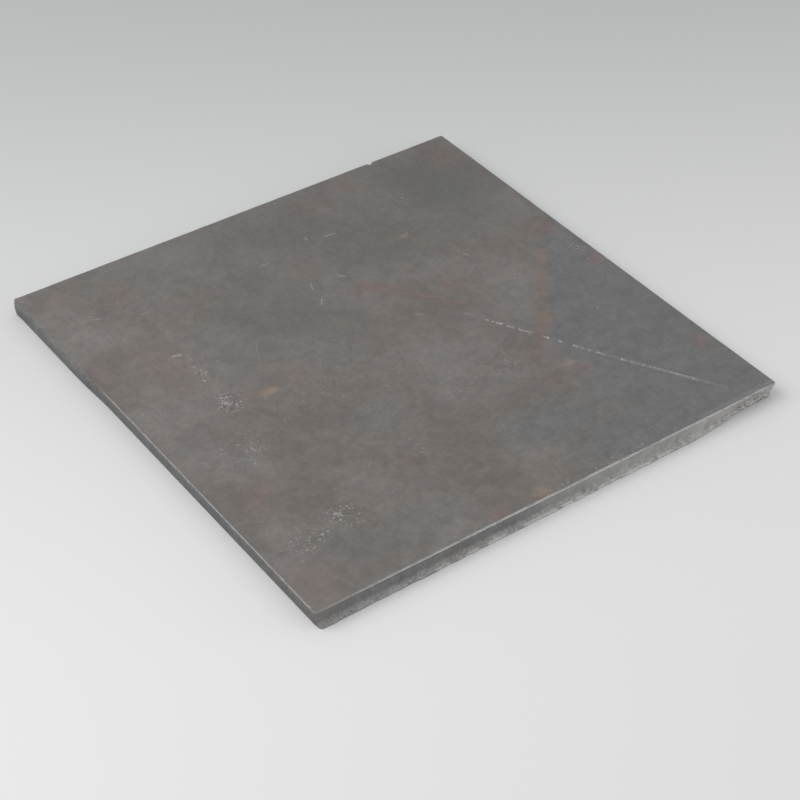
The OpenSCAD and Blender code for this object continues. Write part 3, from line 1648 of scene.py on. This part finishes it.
    def _paleness(self, side: Side, place: Vector, torn_up: float) -> float:
        """How pale a point of a side is, painted light included.

        Args:
            side: The side.
            place: The point, in millimetres.
            torn_up: How far the side is torn over its whole height there.

        Returns:
            The paleness, from 0 on the darkest land to 1 on torn steel and under the painted light.
        """
        rise = self.rise(side, place)
        if not side.from_above:
            return self.least_pale * self.dull_fade.at(rise)
        # painted light on the stretches that pale the sides
        bright = self._share(self.painted_light_stretches, side, place)
        slope = (self.slope_pale + self.painted_light_gain * bright) * self.slope_fade.at(rise)
        return max(self.least_pale, torn_up, bright, slope)

    def _wear(self, side: Side, place: Vector) -> float:
        """How far a point lies on an upper arris that is rubbed bright.

        Args:
            side: The side.
            place: The point, in millimetres.

        Returns:
            The share, from 0 to 1.
        """
        below = self.thick - place.z
        if below >= self.thick / 2:
            return 0.0
        cut = self.section
        if side.from_above:
            wear, width, inset = self.rolled_wear, cut.rollover_r, cut.face_from
        else:
            wear, width, inset = self.burr_wear, cut.lip_h, cut.burr_break
        share = smooth_step(width, wear.full, below)
        if below < NEAR:
            share *= wear.face_share * smooth_step(wear.face_reach, 0.0, self.depth(side, place) - inset)
        return share * self._share(self.worn_stretches, side, place)

    @staticmethod
    def _share(stretches: tuple[Stretch, ...], side: Side, place: Vector) -> float:
        """How far a place on a side lies in any of some stretches."""
        return max(stretch.share(side, place) for stretch in stretches)

    def _assign_slots(self, piece: bpy.types.Object) -> None:
        """Gives the cut sides, the upper face and the lower face a material slot each.

        Args:
            piece: The plate's mesh object.
        """
        tests = (
            (Slot.TOP, lambda face: face.calc_center_median().z > (self.thick - self.skin) * MM),
            (Slot.UNDER, lambda face: face.calc_center_median().z < self.skin * MM),
        )
        for _ in Slot:
            piece.data.materials.append(None)
        with Editing(piece) as edit:
            for slot, test in tests:
                edit.pick(Pick.FACE, test)
                piece.active_material_index = slot.value
                bpy.ops.object.material_slot_assign()

    def _mark_zones(self, piece: bpy.types.Object) -> None:
        """Stores the zones as vertex groups for the tears and as attributes for the finish.

        Args:
            piece: The plate's mesh object.
        """
        mesh = piece.data
        weights = [self._zones(millimetres(vert.co)) for vert in mesh.vertices]
        for zone in Zone:
            group = piece.vertex_groups.new(name=zone.group)
            for index, row in enumerate(weights):
                if row[zone] > 0.0:
                    group.add((index,), row[zone], "REPLACE")
        for zone in FINISH_ZONES:
            layer = mesh.attributes.new(zone.attribute, "FLOAT", "POINT")
            layer.data.foreach_set("value", [row[zone] for row in weights])

    def _tear(self, piece: bpy.types.Object) -> None:
        """Shapes the zones, one layer after another.

        Args:
            piece: The plate's mesh object.
        """
        for tear in self.tears:
            shift = {"vertex_group": tear.zone.group, "direction": tear.way.name, "strength": tear.depth * MM}
            if not tear.grain:
                apply_modifier(piece, "DISPLACE", mid_level=0.0, **shift)
                continue
            noise = bpy.data.textures.new(tear.zone.group, "CLOUDS")
            noise.noise_scale = tear.grain
            noise.noise_depth = tear.octaves
            noise.noise_type = "HARD_NOISE" if tear.hard else "SOFT_NOISE"
            bpy.ops.object.empty_add(location=(0, 0, 0))
            grid = bpy.context.active_object
            grid.scale = [share * MM for share in tear.stretch]
            apply_modifier(
                piece,
                "DISPLACE",
                texture=noise,
                texture_coords="OBJECT",
                texture_coords_object=grid,
                mid_level=0.5,
                **shift,
            )
            bpy.data.objects.remove(grid)
            bpy.data.textures.remove(noise)

    def _knock(self, piece: bpy.types.Object) -> None:
        """Pushes in the corners and arrises that were knocked.

        Args:
            piece: The plate's mesh object.
        """
        for knock in self.knocks:
            target = Vector(knock.place)
            nearest = min(piece.data.vertices, key=lambda vert: (millimetres(vert.co) - target).length).index
            with Editing(piece) as edit:
                edit.pick(Pick.VERT, lambda vert: vert.index == nearest)
                bpy.ops.transform.translate(
                    value=Vector(knock.push) * MM,
                    use_proportional_edit=True,
                    proportional_edit_falloff="SMOOTH",
                    proportional_size=knock.reach * MM,
                )

    def dress(
        self, piece: bpy.types.Object, top: MillScale, under: MillScale, cut: CutSteel, effects: Effects
    ) -> None:
        """Gives each broad face and the cut sides their finish, and ties the piece to the frame.

        Args:
            piece: The plate's mesh object.
            top: Finish of the upper face.
            under: Finish of the lower face.
            cut: Finish of the cut sides.
            effects: The shared effect groups.
        """
        for slot, finish in ((Slot.CUT, cut), (Slot.TOP, top), (Slot.UNDER, under)):
            piece.data.materials[slot.value] = finish.material(effects)
        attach(piece, "root")
        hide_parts("plate")


def apply_modifier(piece: bpy.types.Object, kind: str, **settings: object) -> None:
    """Adds a modifier and applies it at once.

    Args:
        piece: The object to change.
        kind: Blender's name of the modifier type.
        settings: Values for the modifier's properties.
    """
    make_active(piece)
    modifier = piece.modifiers.new(kind.lower(), kind)
    for name, value in settings.items():
        setattr(modifier, name, value)
    bpy.ops.object.modifier_apply(modifier=modifier.name)


@dataclass(frozen=True)
class Lamp:
    """A soft lamp that faces the plate: its place and size in metres, and its power."""

    name: str
    place: Triple
    size: tuple[float, float]
    power: float

    def build(self) -> None:
        """Hangs the lamp."""
        place = Vector(self.place)
        bpy.ops.object.light_add(type="AREA", location=place)
        lamp = bpy.context.active_object
        lamp.name = self.name
        lamp.data.shape = "RECTANGLE"
        lamp.data.size, lamp.data.size_y = self.size
        lamp.data.energy = self.power
        lamp.rotation_euler = (-place).to_track_quat("-Z", "Y").to_euler()
        lamp.visible_camera = False


@dataclass(frozen=True)
class Studio:
    """Pale floor, soft light and the camera. Angles are in degrees, and the floor's size is in metres."""

    azimuth: float = -36.766
    elevation: float = 39.730
    roll: float = 1.153
    distance: float = 1075.0
    target: Triple = (-25.1, -44.8, 10.0)
    lens: float = 91.67
    sensor: float = 36.0
    floor_near: Colour = (0.69, 0.69, 0.69)
    floor_far: Colour = (0.42, 0.43, 0.43)
    floor_fade: Triple = (0.24, 0.73, 0.0)
    floor_band: Band = Band(-200.0, 420.0)
    floor_roughness: float = 0.8
    floor_size: float = 12.0
    world_light: float = 0.70
    key: Lamp = Lamp("key", (-0.80, 0.35, 1.05), (1.2, 0.9), 10.8)
    fill: Lamp = Lamp("fill", (0.75, -0.60, 0.16), (0.6, 0.24), 1.5)

    def build(self) -> None:
        """Makes the floor, the light and the camera."""
        self._floor()
        self._light()
        self._camera()
        bpy.context.scene.view_settings.view_transform = "Standard"

    @property
    def back(self) -> Vector:
        """Direction from the target to the camera."""
        turn, rise = math.radians(self.azimuth), math.radians(self.elevation)
        return Vector((math.sin(turn) * math.cos(rise), -math.cos(turn) * math.cos(rise), math.sin(rise)))

    def _floor(self) -> None:
        """Lays a wide pale floor whose colour darkens with distance, a painted fall-off of the light."""
        bpy.ops.object.select_all(action="DESELECT")
        bpy.ops.mesh.primitive_plane_add(size=self.floor_size)
        floor = bpy.context.active_object
        floor.name = floor.data.name = "floor"
        material, graph, shader = new_finish("pale_floor")
        # painted fall-off of the light: the floor's colour darkens along one direction
        away = graph.vector("DOT_PRODUCT", graph.place(), self.floor_fade)
        colour = graph.blend(graph.fit(away, self.floor_band), self.floor_near, self.floor_far)
        graph.feed(shader.inputs["Base Color"], colour)
        shader.inputs["Roughness"].default_value = self.floor_roughness
        floor.data.materials.append(material)

    def _light(self) -> None:
        """Hangs a wide soft lamp at the back and a low weak one in front, in an even pale surround."""
        world = bpy.data.worlds.new("studio")
        bpy.context.scene.world = world
        world.use_nodes = True
        surround = world.node_tree.nodes["Background"]
        surround.inputs["Color"].default_value = (1.0, 1.0, 1.0, 1.0)
        surround.inputs["Strength"].default_value = self.world_light
        self.key.build()
        self.fill.build()

    def _camera(self) -> None:
        """Sets the camera at the photograph's angle."""
        turn, roll = math.radians(self.azimuth), math.radians(self.roll)
        back = self.back
        level = Vector((math.cos(turn), math.sin(turn), 0.0))
        rise = back.cross(level)
        right = level * math.cos(roll) + rise * math.sin(roll)
        up = rise * math.cos(roll) - level * math.sin(roll)
        bpy.ops.object.camera_add()
        camera = bpy.context.active_object
        camera.name = "camera"
        camera.data.lens = self.lens
        camera.data.sensor_width = self.sensor
        turned = Matrix((right, up, back)).transposed()
        place = Vector(self.target) * MM + back * self.distance * MM
        camera.matrix_world = Matrix.Translation(place) @ turned.to_4x4()
        bpy.context.scene.camera = camera


def main() -> None:
    """Builds the plate and its studio, and logs how many faces the piece has."""
    logging.basicConfig(level=logging.INFO, format="%(name)s: %(message)s")
    effects = Effects.build()
    plate = SteelPlate(*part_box("plate"))
    piece = plate.build()
    top = MillScale("mill_scale_top", TOP_MARKS, seed=3.0)
    under = MillScale("mill_scale_under", UNDER_MARKS, seed=41.0)
    plate.dress(piece, top, under, CutSteel("cut_steel"), effects)
    LOG.info("%s: %d faces", piece.name, len(piece.data.polygons))
    Studio().build()


if __name__ == "__main__":
    main()
